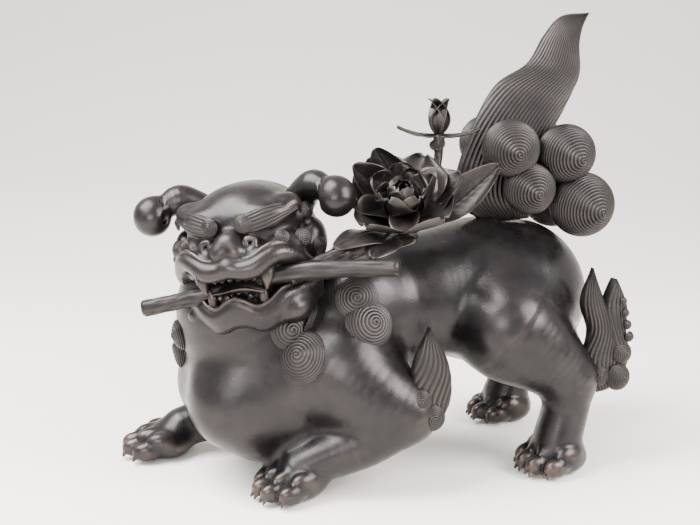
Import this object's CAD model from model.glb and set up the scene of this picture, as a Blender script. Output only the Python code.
import math

import bpy
import numpy as np
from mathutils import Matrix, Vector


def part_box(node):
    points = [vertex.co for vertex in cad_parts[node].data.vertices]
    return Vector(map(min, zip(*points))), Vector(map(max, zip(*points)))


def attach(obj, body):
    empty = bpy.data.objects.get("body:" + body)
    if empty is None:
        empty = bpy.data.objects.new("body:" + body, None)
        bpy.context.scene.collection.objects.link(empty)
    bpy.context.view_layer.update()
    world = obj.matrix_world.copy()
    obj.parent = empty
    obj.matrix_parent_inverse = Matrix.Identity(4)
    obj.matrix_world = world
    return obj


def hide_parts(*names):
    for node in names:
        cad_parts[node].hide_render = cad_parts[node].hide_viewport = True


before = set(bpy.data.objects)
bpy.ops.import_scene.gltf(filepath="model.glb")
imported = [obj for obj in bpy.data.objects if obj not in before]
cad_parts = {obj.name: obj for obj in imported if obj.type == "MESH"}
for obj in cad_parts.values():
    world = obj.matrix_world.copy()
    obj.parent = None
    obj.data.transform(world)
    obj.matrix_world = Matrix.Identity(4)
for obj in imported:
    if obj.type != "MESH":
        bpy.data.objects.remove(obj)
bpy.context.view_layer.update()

import openvdb
from mathutils import Vector

MM = 0.001
UP = np.array([0.0, 0.0, 1.0])
FAR = 20.0                      # distance held by a field where nothing was sculpted

BODY_STEP = 1.0                 # sculpting grids, in millimetres
HEAD_STEP = 0.62
HAIR_PITCH = 1.5                # distance between two chased hair grooves
GROOVE = 0.55                   # depth of a chased groove


def middle(node):
    """The centre of a CAD node's box."""
    low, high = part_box(node)
    return (np.array(low) + np.array(high)) / 2 / MM


def unit(vector):
    vector = np.asarray(vector, float)
    return vector / np.linalg.norm(vector)


def spline(points, count):
    """A smooth curve through the points (Catmull-Rom), as count evenly timed samples."""
    points = np.asarray(points, float)
    padded = np.vstack([2 * points[0] - points[1], points, 2 * points[-1] - points[-2]])
    time = np.linspace(0, len(points) - 1 - 1e-9, count)
    at = time.astype(int)
    t = (time - at)[:, None]
    a, b, c, d = (padded[at + i] for i in range(4))
    return 0.5 * (2 * b + (c - a) * t + (2 * a - 5 * b + 4 * c - d) * t ** 2
                  + (3 * b - a - 3 * c + d) * t ** 3)


# ---- sculpting with distance fields ----------------------------------------------------
def tube(points, radii, smooth=True):
    """A round bar along a curve whose radius changes on the way."""
    path = np.column_stack([np.asarray(points, float), np.asarray(radii, float)])
    if smooth and len(path) > 2:
        path = spline(path, 4 * len(path))
    reach = path[:, 3].max()

    def distance(x, y, z):
        best = FAR
        for a, b in zip(path[:-1], path[1:]):
            along = b[:3] - a[:3]
            t = ((x - a[0]) * along[0] + (y - a[1]) * along[1] + (z - a[2]) * along[2])
            t = np.clip(t / max(along @ along, 1e-9), 0, 1)
            off = ((x - a[0] - t * along[0]) ** 2 + (y - a[1] - t * along[1]) ** 2
                   + (z - a[2] - t * along[2]) ** 2)
            best = np.minimum(best, np.sqrt(off) - a[3] - t * (b[3] - a[3]))
        return best
    return path[:, :3].min(0) - reach, path[:, :3].max(0) + reach, distance


def egg(centre, radii, turn=0.0, tilt=0.0):
    """An ellipsoid, turned about Z and then tilted about its own X, in degrees."""
    c, s = math.cos(math.radians(turn)), math.sin(math.radians(turn))
    ct, st = math.cos(math.radians(tilt)), math.sin(math.radians(tilt))
    axes = np.array([[c, s, 0], [-s * ct, c * ct, st], [s * st, -c * st, ct]])
    reach = max(radii)

    def distance(x, y, z):
        local = [(x - centre[0]) * a[0] + (y - centre[1]) * a[1] + (z - centre[2]) * a[2] for a in axes]
        k0 = np.sqrt(sum((q / r) ** 2 for q, r in zip(local, radii)))
        k1 = np.sqrt(sum((q / r ** 2) ** 2 for q, r in zip(local, radii)))
        return k0 * (k0 - 1) / np.maximum(k1, 1e-6)
    return np.array(centre, float) - reach, np.array(centre, float) + reach, distance


def block(low, high):
    """A box between two corners."""
    centre, half = (low + high) / 2, (high - low) / 2

    def distance(x, y, z):
        off = [np.abs(q - c) - h for q, c, h in zip((x, y, z), centre, half)]
        outside = np.sqrt(sum(np.maximum(q, 0) ** 2 for q in off))
        return outside + np.minimum(np.maximum(np.maximum(off[0], off[1]), off[2]), 0)
    return low, high, distance


class Field:
    """A signed distance field on a grid, sculpted by joining and cutting soft shapes."""

    def __init__(self, low, high, step):
        self.low = np.asarray(low, float)
        self.step = step
        self.counts = np.ceil((np.asarray(high) - self.low) / step).astype(int) + 1
        self.values = np.full(self.counts, FAR, np.float32)

    def window(self, low, high):
        first = np.clip(((low - self.low) / self.step).astype(int), 0, self.counts - 1)
        last = np.clip(((high - self.low) / self.step).astype(int) + 2, 1, self.counts)
        cut = tuple(slice(a, b) for a, b in zip(first, last))
        axes = [self.low[i] + self.step * np.arange(first[i], last[i]) for i in range(3)]
        return cut, np.meshgrid(*axes, indexing="ij", sparse=True)

    def join(self, shape, blend=4.0, cut=False):
        """Adds a shape, or takes it away, with a fillet about as wide as blend."""
        low, high, distance = shape
        margin = blend + 3 * self.step
        where, grid = self.window(low - margin, high + margin)
        new = distance(*grid).astype(np.float32)
        old = self.values[where]
        a, b = (-old, new) if cut else (old, new)
        soft = np.maximum(blend - np.abs(a - b), 0) / blend
        joined = np.minimum(a, b) - soft ** 2 * blend / 4
        self.values[where] = -joined if cut else joined

    def sample(self, points):
        """The field's value at any points, by trilinear interpolation."""
        at = (points - self.low) / self.step
        cell = np.clip(at.astype(int), 0, self.counts - 2)
        t = np.clip(at - cell, 0, 1)
        total = 0.0
        for corner in np.ndindex(2, 2, 2):
            weight = np.prod([t[:, i] if corner[i] else 1 - t[:, i] for i in range(3)], axis=0)
            total = total + weight * self.values[tuple((cell + corner).T)]
        return total

    def normals(self, points):
        reach = self.step * 0.9
        slopes = [self.sample(points + reach * e) - self.sample(points - reach * e) for e in np.eye(3)]
        slopes = np.stack(slopes, 1)
        return slopes / np.maximum(np.linalg.norm(slopes, axis=1, keepdims=True), 1e-9)

    def surface(self):
        """The field's skin as points, quads and outward normals."""
        grid = openvdb.FloatGrid(FAR)
        grid.copyFromArray(self.values)
        points, _, quads = grid.convertToPolygons(isovalue=0.0, adaptivity=0.0)
        points = points.astype(float) * self.step + self.low
        normals = self.normals(points)
        corners = points[quads[:, :4]]
        facing = np.cross(corners[:, 2] - corners[:, 0], corners[:, 3] - corners[:, 1])
        if (facing * normals[quads[:, 0]]).sum() < 0:
            quads = quads[:, ::-1]
        return points, quads.astype(int), normals


# ---- meshes and pieces -----------------------------------------------------------------
def hollows(points, quads, normals, rounds=3):
    """How far each point stands out of (+) or lies in (-) its surroundings."""
    smooth = points.copy()
    pairs = np.vstack([quads[:, [i, (i + 1) % 4]] for i in range(4)])
    count = np.bincount(pairs.ravel(), minlength=len(points))[:, None]
    for _ in range(rounds):
        total = np.zeros_like(points)
        for i in range(3):
            total[:, i] = (np.bincount(pairs[:, 0], smooth[pairs[:, 1], i], len(points))
                           + np.bincount(pairs[:, 1], smooth[pairs[:, 0], i], len(points)))
        smooth = total / np.maximum(count, 1)
    return ((points - smooth) * normals).sum(1)


def piece(name, points, faces, material, body, nodes=(), relief=None, normals=None):
    """Makes an object of the visual model, and hides the CAD nodes that it stands for."""
    mesh = bpy.data.meshes.new(name)
    mesh.from_pydata((np.asarray(points) * MM).tolist(), [], faces)
    mesh.shade_smooth()
    if relief is not None:
        mesh.attributes.new("relief", "FLOAT", "POINT").data.foreach_set(
            "value", np.clip(relief, -1, 1).astype(np.float32))
    if normals is not None:
        mesh.normals_split_custom_set_from_vertices(normals.tolist())
    mesh.materials.append(material)
    made = bpy.data.objects.new(name, mesh)
    bpy.context.scene.collection.objects.link(made)
    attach(made, body)
    if nodes:
        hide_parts(*nodes)
    return made


def sheet(rows, cols, closed=False, offset=0):
    """Quads of a grid of points. closed joins the last column to the first."""
    r, c = np.meshgrid(np.arange(rows - 1), np.arange(cols if closed else cols - 1), indexing="ij")
    right = (c + 1) % cols
    quads = np.stack([r * cols + c, r * cols + right, (r + 1) * cols + right, (r + 1) * cols + c], -1)
    return quads.reshape(-1, 4) + offset


def ridge(phase):
    """The rounded profile of one strand of hair between two grooves, 0 to 1."""
    return np.abs(np.sin(np.pi * phase)) ** 0.7


def lock(left, right, out, thick, strands, rows=60, groove=GROOVE, lift=0.0, slant=0.0, wave=0.0):
    """A lens-shaped lock of hair between two edge curves, chased with strands that run
    along it, or slanted across it. It swells to both sides of the edges, and tapers to
    nothing at its ends."""
    left, right = spline(left, rows), spline(right, rows)
    out = np.asarray(out, float)
    out = spline(out, rows) if out.ndim == 2 else np.tile(unit(out), (rows, 1))
    cols = strands * 6 + 1
    across = np.linspace(0, 1, cols)
    u = np.linspace(0, 1, rows)
    taper = (np.sin(np.pi * np.clip(u * 0.9 + 0.08, 0, 1)) ** 0.45)[:, None]
    swell = np.sqrt(np.clip(1 - (2 * across - 1) ** 2, 0, 1))[None, :]
    drift = slant * u + wave * np.sin(2 * math.pi * u)
    strand = ridge(across[None, :] * strands + drift[:, None])
    height = taper * swell * thick - groove * (1 - strand) * np.minimum(1, 2 * swell * taper)
    base = left[:, None] * (1 - across)[None, :, None] + right[:, None] * across[None, :, None]
    front = base + out[:, None] * (np.maximum(height, 0.0) + lift)[..., None]
    back = base[:, ::-1] - out[:, None] * np.maximum(height, 0.0)[:, ::-1, None]
    ring = np.concatenate([front, back[:, 1:-1]], axis=1)
    loop = ring.shape[1]
    relief = np.concatenate([strand, strand[:, ::-1][:, 1:-1]], axis=1).reshape(-1) * 1.6 - 1.0
    points = ring.reshape(-1, 3)
    faces = sheet(rows, loop, closed=True)
    middle_row = rows // 2 * loop
    hub = middle_row + cols // 2
    a, b, c = points[hub], points[hub + 1], points[hub + loop]
    if np.cross(b - a, c - a) @ out[rows // 2] < 0:
        faces = faces[:, ::-1]
    return points, faces.tolist(), relief


def curl(centre, axis, radius, height=1.0, span=1.75, pitch=HAIR_PITCH, hand=1, groove=GROOVE, peak=0.1):
    """A dome with one spiral groove, like a turban shell. span is the angle from its pole
    to its rim, and height squashes it along its axis."""
    axis = unit(axis)
    side = unit(np.cross(axis, UP if abs(axis[2]) < 0.9 else [1, 0, 0]))
    third = np.cross(axis, side)
    turns = radius * span / pitch
    rings, spokes = int(turns * 7) + 2, 72
    phi = np.linspace(0.02, span, rings)[:, None]
    theta = np.linspace(0, 2 * math.pi, spokes, endpoint=False)[None, :]
    strand = ridge(phi * radius / pitch - hand * theta / (2 * math.pi))
    r = radius + groove * (strand - 1)
    top = r * np.cos(phi) * height + radius * peak * np.exp(-(phi / 0.35) ** 2)
    flat = r * np.sin(phi)
    points = (np.asarray(centre, float) + axis * top[..., None] + side * (flat * np.cos(theta))[..., None]
              + third * (flat * np.sin(theta))[..., None]).reshape(-1, 3)
    faces = sheet(rings, spokes, closed=True)[:, ::-1]
    pole = np.asarray(centre, float) + axis * (radius * (height + peak))
    points = np.vstack([points, pole])
    caps = [[spokes * rings, i, (i + 1) % spokes][::-1] for i in range(spokes)]
    relief = np.append(strand.reshape(-1) * 1.6 - 1.0, 0.3)
    foot = list(range(spokes * (rings - 1), spokes * rings))
    faces = faces.tolist() + caps + [foot]
    return points, faces, relief


def petal(base, tip, out, width, cup=0.3, bend=0.12, wave=1.2, thick=1.2, veins=6, turn=0.0, notch=0.0):
    """A thin petal or leaf from base to tip, cupped towards out, with veins and an uneven
    rim. turn shifts the waves of its rim."""
    base, tip, out = (np.asarray(v, float) for v in (base, tip, out))
    along = tip - base
    length = np.linalg.norm(along)
    out = unit(out - unit(along) * (unit(along) @ out))
    side = np.cross(unit(along), out)
    rows, cols = 30, 33
    u = np.linspace(0, 1, rows)[:, None]
    v = np.linspace(-1, 1, cols)[None, :]
    half = width / 2 * (0.16 + 0.84 * np.sin(np.pi * u ** 0.85) ** 0.75) * (1 - 0.16 * (u > 0.98))
    half = half * (1 - notch * np.exp(-((u - 0.55) / 0.09) ** 2) * np.abs(v) ** 4)
    rim = np.abs(v) ** 3 * wave * np.sin(7 * u + 2.5 * v + turn) + 0.5 * wave * np.sin(4 * u + 3 * v + turn)
    rise = cup * half * v ** 2 + bend * length * 4 * u * (1 - u) * -1 + bend * length * 1.2 * u ** 2 + rim
    vein = np.exp(-(v / 0.07) ** 2) + 0.6 * ridge(veins * u - 1.6 * np.abs(v)) ** 6 * (1 - np.abs(v))
    front = (base + along * u[..., None] + side * (half * v)[..., None]
             + out * (rise - 0.35 * vein * np.minimum(1, 3 * u))[..., None])
    rimmed = thick * np.sqrt(np.clip(1.02 - v ** 4, 0.02, 1)) * np.ones_like(u)
    back = front - out * rimmed[..., None]
    ring = np.concatenate([front, back[:, ::-1]], axis=1)
    relief = 0.1 - 0.9 * vein + 0.9 * np.abs(v) ** 8 * np.ones_like(u)
    relief = np.concatenate([relief, relief[:, ::-1]], axis=1).reshape(-1)
    loop = 2 * cols
    faces = sheet(rows, loop, closed=True)
    points = ring.reshape(-1, 3)
    mid = rows // 2 * loop + cols // 2
    if np.cross(points[mid + 1] - points[mid], points[mid + loop] - points[mid]) @ out < 0:
        faces = faces[:, ::-1]
    caps = [list(range(loop)), list(range((rows - 1) * loop, rows * loop))]
    return points, faces.tolist() + caps, relief


def stem(points, radii, bark=0.25, knots=(), spokes=28):
    """A woody stem with bark grooves, and flat sawn ends that show growth rings."""
    path = np.column_stack([points, radii])
    path = spline(path, 14 * len(path))
    centre, radius = path[:, :3], path[:, 3]
    ways = np.gradient(centre, axis=0)
    ways /= np.linalg.norm(ways, axis=1, keepdims=True)
    side = np.cross(ways, UP)
    side /= np.linalg.norm(side, axis=1, keepdims=True)
    third = np.cross(ways, side)
    theta = np.linspace(0, 2 * math.pi, spokes, endpoint=False)[None, :]
    run = np.linspace(0, 1, len(path))[:, None]
    grain = (np.sin(5 * theta + 9 * run) + 0.7 * np.sin(9 * theta - 31 * run + 2)
             + 0.6 * np.sin(3 * theta + 60 * run)) / 2.3
    swollen = radius[:, None] + bark * grain
    for at, size in knots:
        swollen = swollen + size * np.exp(-((run - at) / 0.035) ** 2) * (1 + 0.5 * np.cos(theta + 20 * at))
    points = centre[:, None] + side[:, None] * (swollen * np.cos(theta))[..., None] + third[:, None] * (
        swollen * np.sin(theta))[..., None]
    relief = (0.9 * grain - 0.1).reshape(-1)
    faces = sheet(len(path), spokes, closed=True).tolist()
    points = points.reshape(-1, 3)
    for end, first in ((0, 0), (-1, (len(path) - 1) * spokes)):
        rim = points[first:first + spokes]
        hub = rim.mean(0)
        start = first
        for step, share in enumerate(np.linspace(0.92, 0.08, 14)):
            ring = hub + (rim - hub) * share + ways[end] * (0.25 if step % 2 else 0.0) * (1 if end else -1)
            new = len(points)
            points = np.vstack([points, ring])
            relief = np.concatenate([relief, np.full(spokes, 0.5 if step % 2 else -0.5)])
            quads = [[start + i, start + (i + 1) % spokes, new + (i + 1) % spokes, new + i]
                     for i in range(spokes)]
            faces += quads if end else [q[::-1] for q in quads]
            start = new
        cap = list(range(start, start + spokes))
        faces.append(cap if end else cap[::-1])
    return points, faces, relief


def gather(name, patches, material, body, nodes=()):
    """One piece out of several patches of (points, faces, relief)."""
    points, faces, relief, count = [], [], [], 0
    for patch_points, patch_faces, patch_relief in patches:
        points.append(patch_points)
        faces += [[corner + count for corner in face] for face in patch_faces]
        relief.append(patch_relief)
        count += len(patch_points)
    return piece(name, np.vstack(points), faces, material, body, nodes, np.concatenate(relief))


# ---- materials -------------------------------------------------------------------------
def bronze(name, dark, brown, rub, rough):
    """Patinated bronze: near black in the recesses, brown where hands rub it, with cloudy
    tone, pits and an uneven satin sheen."""
    made = bpy.data.materials.new(name)
    made.use_nodes = True
    nodes, links = made.node_tree.nodes, made.node_tree.links
    shader = nodes["Principled BSDF"]
    place = nodes.new("ShaderNodeTexCoord")

    def noise(scale, detail=4.0):
        node = nodes.new("ShaderNodeTexNoise")
        node.inputs["Scale"].default_value = scale
        node.inputs["Detail"].default_value = detail
        links.new(place.outputs["Object"], node.inputs["Vector"])
        return node.outputs["Fac"]

    def spread(value, low, high, to_low=0.0, to_high=1.0):
        node = nodes.new("ShaderNodeMapRange")
        for socket, number in zip(("From Min", "From Max", "To Min", "To Max"), (low, high, to_low, to_high)):
            node.inputs[socket].default_value = number
        links.new(value, node.inputs["Value"])
        return node.outputs["Result"]

    def maths(kind, a, b):
        node = nodes.new("ShaderNodeMath")
        node.operation = kind
        for socket, value in zip(node.inputs, (a, b)):
            if isinstance(value, (int, float)):
                socket.default_value = value
            else:
                links.new(value, socket)
        return node.outputs[0]

    def mix(fac, a, b):
        node = nodes.new("ShaderNodeMix")
        node.data_type = "RGBA"
        links.new(fac, node.inputs["Factor"])
        for socket, value in ((node.inputs[6], a), (node.inputs[7], b)):
            if isinstance(value, tuple):
                socket.default_value = (*value, 1)
            else:
                links.new(value, socket)
        return node.outputs[2]

    relief = nodes.new("ShaderNodeAttribute")
    relief.attribute_name = "relief"
    cloud = spread(noise(45, 6), 0.35, 0.65)
    tone = mix(cloud, dark, brown)
    rubbed = spread(relief.outputs["Fac"], 0.15, 0.9)
    worn = maths("MULTIPLY", rubbed, spread(noise(60, 3), 0.35, 0.6, 0.2, 1.0))
    tone = mix(worn, tone, rub)
    sunk = spread(relief.outputs["Fac"], -0.08, -0.75)
    tone = mix(sunk, tone, tuple(c * 0.18 for c in dark))
    links.new(tone, shader.inputs["Base Color"])
    gloss = spread(noise(150, 4), 0.3, 0.7, rough - 0.06, rough + 0.08)
    links.new(maths("ADD", gloss, maths("MULTIPLY", sunk, 0.25)), shader.inputs["Roughness"])
    shader.inputs["Metallic"].default_value = 0.65
    shader.inputs["Specular IOR Level"].default_value = 0.6
    grain = maths("ADD", noise(900, 3), maths("MULTIPLY", noise(2600, 2), 0.5))
    bump = nodes.new("ShaderNodeBump")
    bump.inputs["Strength"].default_value = 0.16
    bump.inputs["Distance"].default_value = 0.0004
    links.new(grain, bump.inputs["Height"])
    links.new(bump.outputs["Normal"], shader.inputs["Normal"])
    return made


bronze_skin = bronze("bronze_patina", dark=(0.008, 0.007, 0.008), brown=(0.018, 0.015, 0.015),
                     rub=(0.075, 0.054, 0.046), rough=0.31)
hair_bronze = bronze("hair_patina", dark=(0.009, 0.008, 0.008), brown=(0.018, 0.015, 0.015),
                     rub=(0.046, 0.037, 0.033), rough=0.40)
spray_bronze = bronze("spray_patina", dark=(0.010, 0.008, 0.008), brown=(0.020, 0.016, 0.015),
                      rub=(0.052, 0.041, 0.036), rough=0.38)

# ---- body: one skin over the trunk and the legs, split where the castings meet ----------
# The numbers are offsets from the middle of the trunk casting.
CORE = middle("trunk_casting")
SPINE = [(0, 80, 22), (0, 58, 26), (0, 32, 27), (0, 4, 22), (0, -16, 12)]
SPINE_R = [45.5, 42, 37, 38, 41]
CHEST = [(-3, -40, -8), (-3, -64, -21)]
CHEST_R = [46, 45]
NECK = [(-3, -60, -6), (-3, -78, 22), (2, -76, 44)]
NECK_R = [42, 40, 31]
MUSCLES = [         # centre, radii, turn, tilt
    ((30, 70, 14), (23, 34, 36), 8, 0), ((-30, 74, 12), (23, 34, 36), -8, 0),
    ((33, -32, -4), (24, 25, 31), 10, 0), ((-30, -52, -14), (24, 24, 30), 0, 0),
    ((0, 64, 38), (30, 34, 26), 0, 0), ((20, 30, 26), (18, 26, 26), 0, 0),
    ((22, -20, 30), (20, 24, 24), 0, 0), ((14, -92, -22), (24, 24, 26), 0, 0),
    ((-18, -92, -20), (22, 24, 26), 0, 0),
]
LEGS = {            # casting: tubes of (points, radii)
    "foreleg_left": [([(30, -34, -8), (44, -18, -18), (51, -4, -25)], [29, 24, 17]),
                     ([(52, -4, -28), (48, -26, -41), (41, -50, -52), (38, -60, -57)], [15, 14.5, 12.5, 12])],
    "foreleg_right": [([(-26, -56, -20), (-40, -64, -34), (-47, -70, -44)], [28, 22, 16]),
                      ([(-48, -68, -46), (-49, -90, -53), (-47, -110, -57)], [15, 13.5, 12])],
    "hindleg_left": [([(38, 62, 14), (43, 78, 0), (46, 95, -16)], [29, 24, 17]),
                     ([(46, 97, -18), (47, 96, -34), (48, 90, -56)], [16, 13.5, 14])],
    "hindleg_right": [([(-35, 70, 14), (-39, 86, 0), (-40, 103, -16)], [29, 24, 17]),
                      ([(-40, 106, -18), (-41, 107, -34), (-42, 100, -56)], [16, 13.5, 14])],
}
PAWS = {            # casting: (across, along), heading in degrees from -Y towards the lion's left
    "foreleg_left": ((38, -64.5), 15), "foreleg_right": ((-46, -123.5), -8),
    "hindleg_left": ((48, 88.5), 10), "hindleg_right": ((-42, 98.5), -4),
}
TOES = ((-13.2, -2), (-4.6, -8), (4.6, -8), (13.2, -2))


def paw_shapes(at, heading):
    """The pad, two rows of knuckles and the claws of one paw, standing on the ground."""
    c, s = math.cos(math.radians(heading)), math.sin(math.radians(heading))

    def row(x, y, z):
        return (at[0] + c * x - s * y, at[1] + s * x + c * y, z)

    shapes = [(egg(row(0, 4, 8), (17, 15, 11), heading), 5.0)]
    for across, ahead in TOES:
        shapes.append((egg(row(across, ahead + 2.0, 11.0), (4.9, 8.5, 6.0), heading), 2.4))
        shapes.append((egg(row(across * 1.04, ahead - 6, 6.2), (5.0, 8.4, 5.8), heading), 1.6))
        for claw in (-1, 1):
            shapes.append((tube([row(across * 1.04 + claw * 1.6, ahead - 11.5, 5.2),
                                 row(across * 1.04 + claw * 1.9, ahead - 14.0, 1.6)], [1.6, 0.9]), 0.6))
    return shapes


BODY_LOW, BODY_HIGH = CORE - (78, 150, 80), CORE + (78, 146, 76)
LEG_BLEND = 9.0                 # fillet between a leg and the trunk
limbs = {name: Field(BODY_LOW, BODY_HIGH, BODY_STEP) for name in ["trunk_casting", *LEGS]}
trunk = limbs["trunk_casting"]
trunk.join(tube(CORE + SPINE, SPINE_R), 6)
trunk.join(tube(CORE + CHEST, CHEST_R), 14)
trunk.join(tube(CORE + NECK, NECK_R), 14)
for centre, radii, turn, tilt in MUSCLES:
    trunk.join(egg(CORE + centre, radii, turn, tilt), 12)
for name, tubes in LEGS.items():
    field = limbs[name]
    for points, radii in tubes:
        field.join(tube(CORE + points, radii), 7)
    at, heading = PAWS[name]
    for shape, blend in paw_shapes(CORE[:2] + at, heading):
        field.join(shape, blend)

body = Field(BODY_LOW, BODY_HIGH, BODY_STEP)
body.values = trunk.values.copy()
for name in LEGS:
    a, b = body.values, limbs[name].values
    soft = np.maximum(LEG_BLEND - np.abs(a - b), 0) / LEG_BLEND
    body.values = np.minimum(a, b) - soft ** 2 * LEG_BLEND / 4
heights = body.low[2] + body.step * np.arange(body.counts[2])
body.values = np.maximum(body.values, -heights[None, None, :].astype(np.float32))

TRUNK_NODES = ["trunk_casting", "belly_plate", "core_plug_left", "core_plug_right", "core_plug_chest"]
# the pocket that holds the tail's socket, open at the top
SOCKET_GAP = 0.6
socket_low, socket_high = (np.array(corner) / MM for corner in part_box("tail_socket"))
body.join(block(socket_low - SOCKET_GAP, socket_high + (SOCKET_GAP, SOCKET_GAP, 14)), 0.5, cut=True)

points, quads, normals = body.surface()
relief = hollows(points, quads, normals, 6) / 0.5
centres = points[quads].mean(1)
owners = np.argmin([field.sample(centres) - (1.5 if name != "trunk_casting" else 0)
                    for name, field in limbs.items()], axis=0)
for index, name in enumerate(limbs):
    kept = quads[owners == index]
    used, faces = np.unique(kept, return_inverse=True)
    nodes = TRUNK_NODES if name == "trunk_casting" else [name]
    piece(f"{name}_skin", points[used], faces.reshape(-1, 4).tolist(), bronze_skin, "statue", nodes,
          relief[used], normals[used])

# ---- head, sculpted in its own frame, where it faces -Y --------------------------------
HEAD = middle("head_casting")
YAW, ROLL = math.radians(60), math.radians(-8)
ABOUT_Z = np.array([[math.cos(YAW), -math.sin(YAW), 0], [math.sin(YAW), math.cos(YAW), 0], [0, 0, 1]])
ABOUT_Y = np.array([[math.cos(ROLL), 0, math.sin(ROLL)], [0, 1, 0], [-math.sin(ROLL), 0, math.cos(ROLL)]])
TURN = ABOUT_Z @ ABOUT_Y


def placed(points):
    """Points of the head's own frame, in the part's frame."""
    return HEAD + np.asarray(points) @ TURN.T


def mirrored(side, points):
    """The points on the left side (1), or their mirror images on the right side (-1)."""
    return [(side * x, y, z) for x, y, z in points]


head = Field((-50, -62, -54), (50, 54, 46), HEAD_STEP)
head.join(egg((0, 8, 2), (36, 38, 34)), 4)
head.join(egg((0, -10, 14), (30, 24, 22)), 8)
head.join(egg((0, -18, -4), (32, 22, 18)), 6)
head.join(egg((0, -8, -30), (31, 26, 17)), 6)
MIRRORED_MASSES = [     # centre, radii, turn, blend
    ((17, -23, 21), (14, 9, 7), 24, 4), ((27, -14, 24), (8, 8, 6), 30, 4),
    ((25, -20, 2), (11, 11, 9), 20, 4), ((30, -8, -8), (9, 12, 14), 0, 5),
    ((12, -35, 3), (8, 8, 6), 0, 3), ((36, -2, 2), (7, 10, 12), 0, 4),
    ((26, -20, -30), (9, 12, 9), 0, 5),
]
for centre, radii, turn, blend in MIRRORED_MASSES:
    for side in (1, -1):
        head.join(egg((side * centre[0], *centre[1:]), radii, side * turn), blend)
# the mouth, and the deep shadow under the brows
UNDER_BROW = ((3, -39, 14), (12, -37, 12), (22, -32, 13), (31, -23, 15))
head.join(egg((0, -34, -14), (31, 26, 6.5)), 2, cut=True)
for side in (1, -1):
    head.join(tube(mirrored(side, UNDER_BROW),
                   [2.0, 2.6, 2.6, 1.4]), 1.5, cut=True)
# the nose
NOSE_WING = ((9.5, -40, 3), (13.5, -39.5, 6), (14, -38, 10), (10.5, -38.5, 11), (10, -40, 8))
head.join(egg((0, -37, 8.5), (8.5, 8.5, 7.5)), 3.5)
for side in (1, -1):
    head.join(egg((side * 4.2, -42, 5), (5.2, 4.8, 5.0)), 3)
    head.join(egg((side * 4.4, -45.8, 0.9), (1.7, 2.4, 1.2)), 0.8, cut=True)
    head.join(tube(mirrored(side, NOSE_WING), [1.8, 2.0, 1.9, 1.7, 1.3]), 0.8)
UPPER_FANG = ((18, -35, -5), (17.5, -37, -10), (16.5, -37, -16))
LOWER_FANG = ((13.5, -35, -24), (14, -36, -19), (14.5, -36, -15.5))
UPPER_LIP = [(0, -43.5, -2.5), (6, -43.5, -4), (13, -42, -3.5), (19, -39, 0), (25, -34, 1.5), (31, -26, -2.5),
             (35, -17, -9), (36, -10, -15)]
LOWER_LIP = [(0, -39.5, -21.5), (5, -40, -23.5), (11, -38.5, -27), (17, -35, -25.5), (23, -30, -20.5),
             (30, -22, -18.5), (36, -11, -17)]
for side in (1, -1):
    upper = np.array(mirrored(side, UPPER_LIP))
    lower = np.array(mirrored(side, LOWER_LIP))
    head.join(tube(upper, [4.8, 5.2, 5.6, 5.2, 5.2, 5.0, 4.4, 3.2]), 3.0)
    head.join(tube(upper + (0, -1.2, 5.6), [1.2, 1.3, 1.5, 1.5, 1.5, 1.5, 1.4, 1.2]), 0.7)
    head.join(tube(upper + (0, -3.6, -2.2), [0.8] * 8), 0.6)
    head.join(tube(lower + (0, 1.5, -2), [4.6, 4.8, 5.2, 5.2, 5, 4.6, 3.6]), 3)
    head.join(tube(lower + (0, -2.2, 2.8), [0.9] * 7), 0.6)
    head.join(tube(lower + (0, 3.5, -9), [3] * 7), 7)
    # upper and lower fangs, and the small teeth between them
    head.join(tube(mirrored(side, UPPER_FANG), [4.2, 3.4, 0.9]), 0.8)
    head.join(tube(mirrored(side, LOWER_FANG), [3.0, 2.6, 1.2]), 0.6)
    for tooth in range(3):
        x = side * (2.1 + 4.2 * tooth)
        head.join(egg((x, -37.5, -9), (2.0, 1.5, 2.6)), 0.4)
        head.join(egg((x, -34.5, -20), (2.0, 1.5, 2.4)), 0.4)
points, quads, normals = head.surface()
relief = hollows(points, quads, normals, 5) / 0.3
piece("head_skin", placed(points), quads.tolist(), bronze_skin, "statue", ["head_casting"], relief,
      normals @ TURN.T)

# brows: two fans of chased hair over the eyes, and the spirals of the cheeks and temples
CHEEK_CURLS = [     # centre, axis, radius
    ((9, -37.5, 18.5), (0.15, -1, 0.1), 4.8), ((35, -20, 6), (0.8, -0.7, 0.2), 5.2),
    ((40, -8, -1), (1, -0.3, 0), 5.5), ((36, -9, 19), (0.9, -0.4, 0.2), 4.6),
    ((27, -31, 9), (0.5, -1, 0.3), 4.0), ((39, -4, -12), (1, -0.2, -0.1), 5.5),
]
BROW_LOW = ((4, -39, 17), (12, -36.5, 13.8), (23, -30, 15), (34, -18, 21))
BROW_TOP = ((6, -36, 22), (13, -32, 24.5), (23, -26.5, 26), (33, -16.5, 25))
patches = []
for side in (1, -1):
    patches.append(lock(placed(mirrored(side, BROW_LOW)), placed(mirrored(side, BROW_TOP)),
                        TURN @ (side * 0.3, -1, 0.15), 1.9, 6, rows=90, wave=0.4, lift=0.2))
    for centre, axis, radius in CHEEK_CURLS:
        patches.append(curl(placed((side * centre[0], *centre[1:])), TURN @ (side * axis[0], *axis[1:]),
                            radius, 0.55, 1.6, 1.2, side, 0.4))
gather("face_curls", patches, hair_bronze, "statue")

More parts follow.
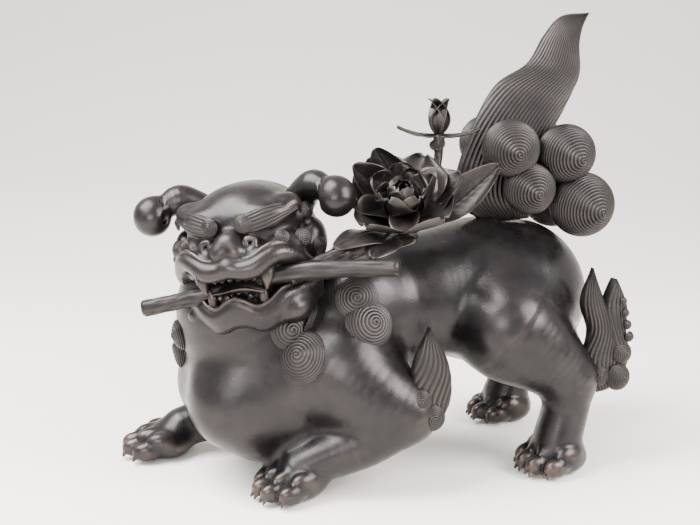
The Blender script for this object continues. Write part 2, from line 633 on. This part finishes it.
# ---- ears: stalks that roll over into two round lobes ----------------------------------
EAR = [(26, 10, 20, 9.5), (33, 6, 27, 8.6), (39, 3, 30, 8.6), (45.5, -1, 28, 6.8),
       (52, -5, 25, 10.0), (52.5, -6, 23, 10.4)]
EAR_HOLLOW = ((36, -8, 20), (42, -9, 23), (47, -9, 20))
EAR_CREASE = ((40, -4, 38), (44.5, -7, 33), (45, -9, 26))
for side, node in ((1, "ear_left"), (-1, "ear_right")):
    ear = Field((-72, -22, 2), (72, 26, 50), HEAD_STEP)
    ear.join(tube([(side * x, y, z) for x, y, z, _ in EAR], [r for *_, r in EAR]), 1)
    ear.join(tube(mirrored(side, EAR_HOLLOW), [2.6, 3.0, 1.6]), 2, cut=True)
    ear.join(tube(mirrored(side, EAR_CREASE), [0.8, 1.2, 0.8]), 1.0, cut=True)
    points, quads, normals = ear.surface()
    relief = hollows(points, quads, normals, 5) / 0.3
    piece(f"{node}_lobe", placed(points), quads.tolist(), bronze_skin, "statue", [node], relief,
          normals @ TURN.T)

# ---- mane curls: the trunk casting's own curls, chased and seated on the sculpted skin ----
MANE = [            # offset from the trunk's middle, radius
    ((34, -48.5, 1), 15), ((36, -27.5, 13), 14), ((36, -27.5, 35), 12), ((30, -65.5, 19), 11),
    ((-18, -113.5, 1), 12), ((-4, -113.5, 13), 9), ((-34, -97.5, 21), 14), ((-38, -71.5, 3), 15),
    ((-40, -47.5, 21), 14), ((-38, -59.5, 41), 13), ((-26, -31.5, 41), 14), ((8, -35.5, 49), 13),
]
CURL_SINK = 0.12                # how deep a curl's middle lies under the skin, per unit radius
CURL_HEIGHT = 0.55
MANE_PITCH = 2.1                # the mane's grooves are the coarsest
MANE_GROOVE = 0.9


def seated(point, depth):
    """The nearest point that lies this deep under the skin, and the way the skin faces."""
    point = np.array([point], float)
    for _ in range(8):
        facing = body.normals(point)
        point = point - facing * (body.sample(point) + depth)[:, None]
    return point[0], facing[0]


patches = []
for index, (at, radius) in enumerate(MANE):
    centre, facing = seated(CORE + at, CURL_SINK * radius)
    hand = 1 - 2 * (index % 2)
    patches.append(curl(centre, facing, radius, CURL_HEIGHT, 1.7, MANE_PITCH, hand, MANE_GROOVE))
# locks of hair that lie on the neck between the jaw and the curls
RUFF_TOP = CORE + (0, -66, 40)
RUFF_WAYS = [10, 34, 146, 170]
LOCK_DROPS, LOCK_HALVES = (0, 9, 18, 27, 34), (3.0, 5.0, 5.2, 3.6, 0.4)
for index, degrees in enumerate(RUFF_WAYS):
    angle = math.radians(degrees)
    way = np.array([math.cos(angle), math.sin(angle), 0])
    across = np.array([-way[1], way[0], 0])
    spots = [seated(RUFF_TOP + way * 34 - UP * drop, 0.6) for drop in LOCK_DROPS]
    sway = [3 * math.sin(drop / 7 + index) for drop in LOCK_DROPS]
    left = [at + across * (shift - half) for (at, _), shift, half in zip(spots, sway, LOCK_HALVES)]
    right = [at + across * (shift + half) for (at, _), shift, half in zip(spots, sway, LOCK_HALVES)]
    patches.append(lock(left, right, [facing for _, facing in spots], 3.0, 5, rows=60, groove=0.7, wave=0.5))
gather("mane_curls", patches, hair_bronze, "statue")

# ---- tail: an S-shaped plume between clusters of curled balls ---------------------------
PLUME = middle("tail_plume")
front = np.array([(0, -22, -60), (0, -38, -50), (0, -40, -36), (0, -31, -8), (0, -16, 18), (0, 4, 30.5),
                  (0, 14, 46), (0, 25, 57), (0, 42.3, 59)])
rear = np.array([(0, 8, -60), (0, 16, -50), (0, 18, -34), (0, 22, -10), (0, 31, 8), (0, 38, 24), (0, 37, 40),
                 (0, 38.5, 50), (0, 42.3, 59)])
patches = [lock(PLUME + front, PLUME + rear, (1, 0, 0), 7.4, 20, rows=150, groove=1.0, wave=2.2)]
gather("tail_plume_hair", patches, hair_bronze, "tail", ["tail_plume", "tail_root"])
BALLS = [           # offset from the middle of a side's curls, radius
    ((-3.2, -23.8, 18), 16.6), ((-2.2, 10.8, 14), 17), ((-0.2, -12.8, -5), 15), ((-1.2, 21.8, -16), 19),
]
for side, node in ((1, "tail_curls_left"), (-1, "tail_curls_right")):
    patches = []
    for (out, back, up), radius in BALLS:
        centre = middle(node) + (side * out, back, up)
        patches.append(curl(centre, (side, 0.006 * back, -0.1), radius, 1.0, 3.1, 1.9, side, 0.85, 0.16))
    gather(f"{node}_hair", patches, hair_bronze, "tail", [node])

# ---- flames behind the elbows and hocks -------------------------------------------------
# Each flame is a pair of edges, front and rear.
ELBOW = ([(0, -4, -28), (0, -9, -8), (0, -8, 10), (0, 1, 28)],
         [(0, 8, -26), (0, 14, -12), (0, 12, 8), (0, 1, 28)])
for node, side in (("elbow_flame_left", 1), ("elbow_flame_right", -1)):
    at = middle(node)
    patches = [lock(at + ELBOW[0], at + ELBOW[1], (side, 0, 0), 7, 7, rows=80, groove=0.9, wave=1.3),
               curl(at + (side * 5, -6, -11), (side, -0.2, 0), 6.5, 0.8, 1.6, 1.3, side),
               curl(at + (side * 5, 1, -21), (side, 0, 0), 7.5, 0.8, 1.6, 1.3, side)]
    gather(f"{node}_hair", patches, hair_bronze, "statue", [node])
HOCK = ([(0, -8, -36), (0, -14, -18), (0, -11, 0), (0, -16, 18), (0, -9, 37)],
        [(0, 6, -34), (0, 9, -16), (0, 6, 2), (0, -1, 18), (0, -9, 37)])
HOCK_BACK = ([(0, -4, -35), (0, -1, -16), (0, -3, 4), (0, 0, 18), (0, 5, 30)],
             [(0, 11, -30), (0, 15, -16), (0, 12, 0), (0, 12, 14), (0, 5, 30)])
for node, side in (("hock_flame_left", 1), ("hock_flame_right", -1)):
    at = middle(node) - (side * 3, 4, 0)
    patches = [lock(at + HOCK[0], at + HOCK[1], (side, -0.2, 0), 9, 8, rows=110, groove=0.9, wave=1.3),
               lock(at + HOCK_BACK[0], at + HOCK_BACK[1], (side, 0.3, 0), 8, 7, rows=100, groove=0.9,
                    wave=-1.3)]
    for y, z, radius in ((7, -27, 8), (9, -13, 6.5), (-5, -25, 6)):
        patches.append(curl(at + (side * 5, y, z), (side, y / 30, 0), radius, 0.8, 1.6, 1.3, side))
    for bead in range(4):
        spot = at + (side * 7, 12 - bead * 1.5, -3 + bead * 7)
        patches.append(curl(spot, (side, 0.6, 0), 3.2 - 0.3 * bead, 0.9, 1.6, 1.1, side, 0.3))
    gather(f"{node}_hair", patches, hair_bronze, "statue", [node])

# ---- the branch, its fork and the leaf in the mouth --------------------------------------
branch = placed([(-55, -31, -22), (-30, -32, -19), (0, -32, -14), (35, -31, -10), (86, -30, -13)])
gather("branch", [stem(branch, [4.6, 4.2, 4.0, 4.6, 4.4], 0.3, ((0.3, 0.7), (0.78, 0.8)))],
       spray_bronze, "statue", ["main_branch"])
FORK = middle("flower_stem")
fork = FORK + [(11, -44, -14), (10, -16, -4), (2, 12, 2), (-8, 36, 8)]
neck = FORK + [(-1, 18, 4), (-1.5, 23, 11), (-1.9, 24.2, 16)]
gather("fork", [stem(fork, [4.4, 4.8, 4.6, 4.2], 0.4, ((0.35, 0.9),)), stem(neck, [3.6, 3.8, 5.0], 0.2)],
       spray_bronze, "statue", ["flower_stem", "spray_rivet"])
mouth_leaf = petal(placed((-13, -37, -17)), placed((15, -41, -13)), TURN @ (0, -0.4, 1), 13, 0.35, -0.12,
                   0.9, veins=5)
gather("mouth_leaf_blade", [mouth_leaf], spray_bronze, "statue", ["mouth_leaf"])

# ---- the peony ----------------------------------------------------------------------------
BLOOM = middle("peony_guard_petals")
FACE = unit((0.45, -0.25, 0.86))
ACROSS = unit(np.cross(FACE, (0, 1, 0)))
DOWN = np.cross(FACE, ACROSS)
BLOOM = BLOOM - FACE * 9


def ring_of_petals(count, reach, rise, width, start, cup, bend, wave, foot=2.0, height=0.0):
    """Petals set round the bloom's axis, opening by rise (0 flat, 1 upright)."""
    made = []
    for i in range(count):
        angle = start + 2 * math.pi * i / count + 0.25 * math.sin(5 * i + start)
        way = ACROSS * math.cos(angle) + DOWN * math.sin(angle)
        length = reach * (1 + 0.12 * math.sin(3.1 * i + start))
        base = BLOOM + way * foot + FACE * height
        tip = base + unit(way * (1 - rise) + FACE * rise) * length
        wide = width * (1 + 0.1 * math.cos(2.3 * i))
        made.append(petal(base, tip, FACE - way * 0.8 * rise, wide, cup, bend, wave, 1.3, 8, turn=1.7 * i))
    return made


guard_petals = ring_of_petals(6, 34, 0.26, 37, 0.3, 0.30, 0.06, 2.8)
gather("guard_petals", guard_petals, spray_bronze, "statue", ["peony_guard_petals"])
inner_petals = ring_of_petals(7, 22, 0.50, 24, 0.8, 0.4, 0.10, 2.6, 2, 1.5)
gather("inner_petals", inner_petals, spray_bronze, "statue", ["peony_inner_petals"])
heart = ring_of_petals(5, 14, 0.72, 16, 0.1, 0.8, 0.2, 1.6, 3, 3)
heart += ring_of_petals(4, 10, 0.6, 13, 1.1, 1.0, 0.3, 2.0, 0, 5)
heart.append(curl(BLOOM + FACE * 8, FACE, 7, 0.6, 1.6, 2.2, 1, 1.0))
gather("heart_petals", heart, spray_bronze, "statue", ["peony_heart"])

# ---- bud and leaves -----------------------------------------------------------------------
STALK = middle("bud_stem")
stalk = STALK + [(5, -4, -23), (0, -1, -4), (-3.5, 2, 10), (-5, 3.2, 23)]
gather("bud_stalk", [stem(stalk, [3.2, 2.4, 2.3, 3.4], 0.25, ((0.45, 0.5),))],
       spray_bronze, "statue", ["bud_stem"])
BUD = middle("bud")
bud_petals = []
for i in range(5):
    angle = 2 * math.pi * i / 5
    way = np.array([math.cos(angle), math.sin(angle), 0])
    foot, tip = BUD - UP * 10 + way * 1.5, BUD + UP * 10.5 + way * 0.6
    bud_petals.append(petal(foot, tip, way, 13, -0.55, -0.22, 0.2, 1.6, 9, i))
gather("bud_petals", bud_petals, spray_bronze, "statue", ["bud"])
SEPAL = middle("bud_sepals")
sepals = [petal(SEPAL + (-1, -1, 1), SEPAL + (-1, -24.5, 5), UP, 9, -0.3, 0.05, 0.5, 1.4, 6),
          petal(SEPAL + (-1, 1, 1), SEPAL + (3, 24, 3), UP, 9, -0.3, 0.05, 0.5, 1.4, 6, 2.0),
          petal(SEPAL + (0, 0, 0), SEPAL + (10, -6, -7), UP, 9, -0.3, 0.05, 0.5, 1.4, 6, 2.0)]
gather("sepals", sepals, spray_bronze, "statue", ["bud_sepals"])
SHADE = middle("shoulder_leaf")
shoulder = [petal(SHADE + (-9, 16, 0), SHADE + tip, (0.4, -0.1, 1), width, -0.25, -0.10, 1.0, 1.5, 9, turn)
            for tip, width, turn in (((10, -21, 5), 20, 0.4), ((17, -4, -1), 20, 2.0), ((4, 24, 2), 19, 4.0))]
gather("shoulder_leaves", shoulder, spray_bronze, "statue", ["shoulder_leaf"])
FLANK = middle("flank_leaf")
flank = petal(FLANK + (-4, -18, -13), FLANK + (2, 20, 16), (0.8, -0.3, 0.5), 20, 0.5, 0.08, 0.9, 1.5, 9)
gather("flank_leaves", [flank], spray_bronze, "statue", ["flank_leaf"])
CREST = middle("crest_leaf")
crest = [petal(CREST + (4, 12, -13), CREST + (-4, -1, 15), (0.8, -0.5, 0.2), 20, 0.3, 0.1, 1.0, 1.5, 8),
         petal(CREST + (4, 10, -13), CREST + (1, -17, 6), (0.6, -0.5, 0.6), 20, 0.3, 0.1, 1.0, 1.5, 8, 2)]
gather("crest_leaves", crest, spray_bronze, "statue", ["crest_leaf"])

# ---- everything of the CAD that is still showing ---------------------------------------
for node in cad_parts.values():
    node.data.materials.clear()
    node.data.materials.append(spray_bronze)

# ---- stage, lights and camera ----------------------------------------------------------

def cloth():
    """A pale floor that sweeps up behind the statue, seen from the camera."""
    made = bpy.data.materials.new("backdrop_cloth")
    made.use_nodes = True
    nodes, links = made.node_tree.nodes, made.node_tree.links
    shader = nodes["Principled BSDF"]
    shader.inputs["Base Color"].default_value = (0.86, 0.835, 0.79, 1)
    shader.inputs["Roughness"].default_value = 0.9
    fibre = nodes.new("ShaderNodeTexNoise")
    fibre.inputs["Scale"].default_value = 260
    bump = nodes.new("ShaderNodeBump")
    bump.inputs["Strength"].default_value = 0.12
    bump.inputs["Distance"].default_value = 0.001
    links.new(fibre.outputs["Fac"], bump.inputs["Height"])
    links.new(bump.outputs["Normal"], shader.inputs["Normal"])
    away = unit((TARGET - CAMERA) * (1, 1, 0))
    side = np.array([-away[1], away[0], 0])
    profile = [(-900, 0), (300, 0), (700, 20), (1100, 120), (1500, 380), (1750, 800), (1850, 1500),
               (1860, 2500)]
    curve = spline(profile, 60)
    points = [away * d + UP * h + side * w for d, h in curve for w in (-2600, 2600)]
    floor_mesh = bpy.data.meshes.new("backdrop")
    floor_mesh.from_pydata((np.array(points) * MM).tolist(), [], sheet(60, 2).tolist())
    floor_mesh.shade_smooth()
    floor_mesh.materials.append(made)
    floor = bpy.data.objects.new("backdrop", floor_mesh)
    bpy.context.scene.collection.objects.link(floor)


def softbox(name, at, size, power, colour):
    light = bpy.data.lights.new(name, "AREA")
    light.shape = "RECTANGLE"
    light.size, light.size_y = size[0] * MM, size[1] * MM
    light.energy = power
    light.color = colour
    made = bpy.data.objects.new(name, light)
    made.location = Vector(at) * MM
    made.rotation_euler = (Vector(TARGET) - Vector(at)).to_track_quat("-Z", "Y").to_euler()
    bpy.context.scene.collection.objects.link(made)


AIM = (-96, 12, 26)             # where the camera looks, from the trunk's middle
AZIMUTH, ELEVATION = math.radians(72), math.radians(12)
DISTANCE = 756
TARGET = CORE + AIM
FORWARD = np.array([-math.sin(AZIMUTH) * math.cos(ELEVATION), math.cos(AZIMUTH) * math.cos(ELEVATION),
                    -math.sin(ELEVATION)])
CAMERA = TARGET - FORWARD * DISTANCE
cloth()
RIGHT = unit(np.cross(FORWARD, UP))
softbox("key", TARGET - RIGHT * 420 + UP * 620 - FORWARD * 260, (620, 620), 34, (1.0, 0.98, 0.96))
softbox("fill", TARGET + RIGHT * 560 + UP * 260 - FORWARD * 420, (420, 420), 14, (1.0, 0.96, 0.94))
softbox("front", TARGET - RIGHT * 160 + UP * 40 - FORWARD * 760, (300, 300), 4, (1.0, 0.97, 0.95))
world = bpy.data.worlds.new("studio")
world.use_nodes = True
world.node_tree.nodes["Background"].inputs["Color"].default_value = (0.92, 0.91, 0.89, 1)
world.node_tree.nodes["Background"].inputs["Strength"].default_value = 1.5
bpy.context.scene.world = world

lens = bpy.data.cameras.new("camera")
lens.lens = 59.14
camera = bpy.data.objects.new("camera", lens)
camera.location = Vector(CAMERA) * MM
camera.rotation_euler = Vector(FORWARD).to_track_quat("-Z", "Y").to_euler()
bpy.context.scene.collection.objects.link(camera)
bpy.context.scene.camera = camera
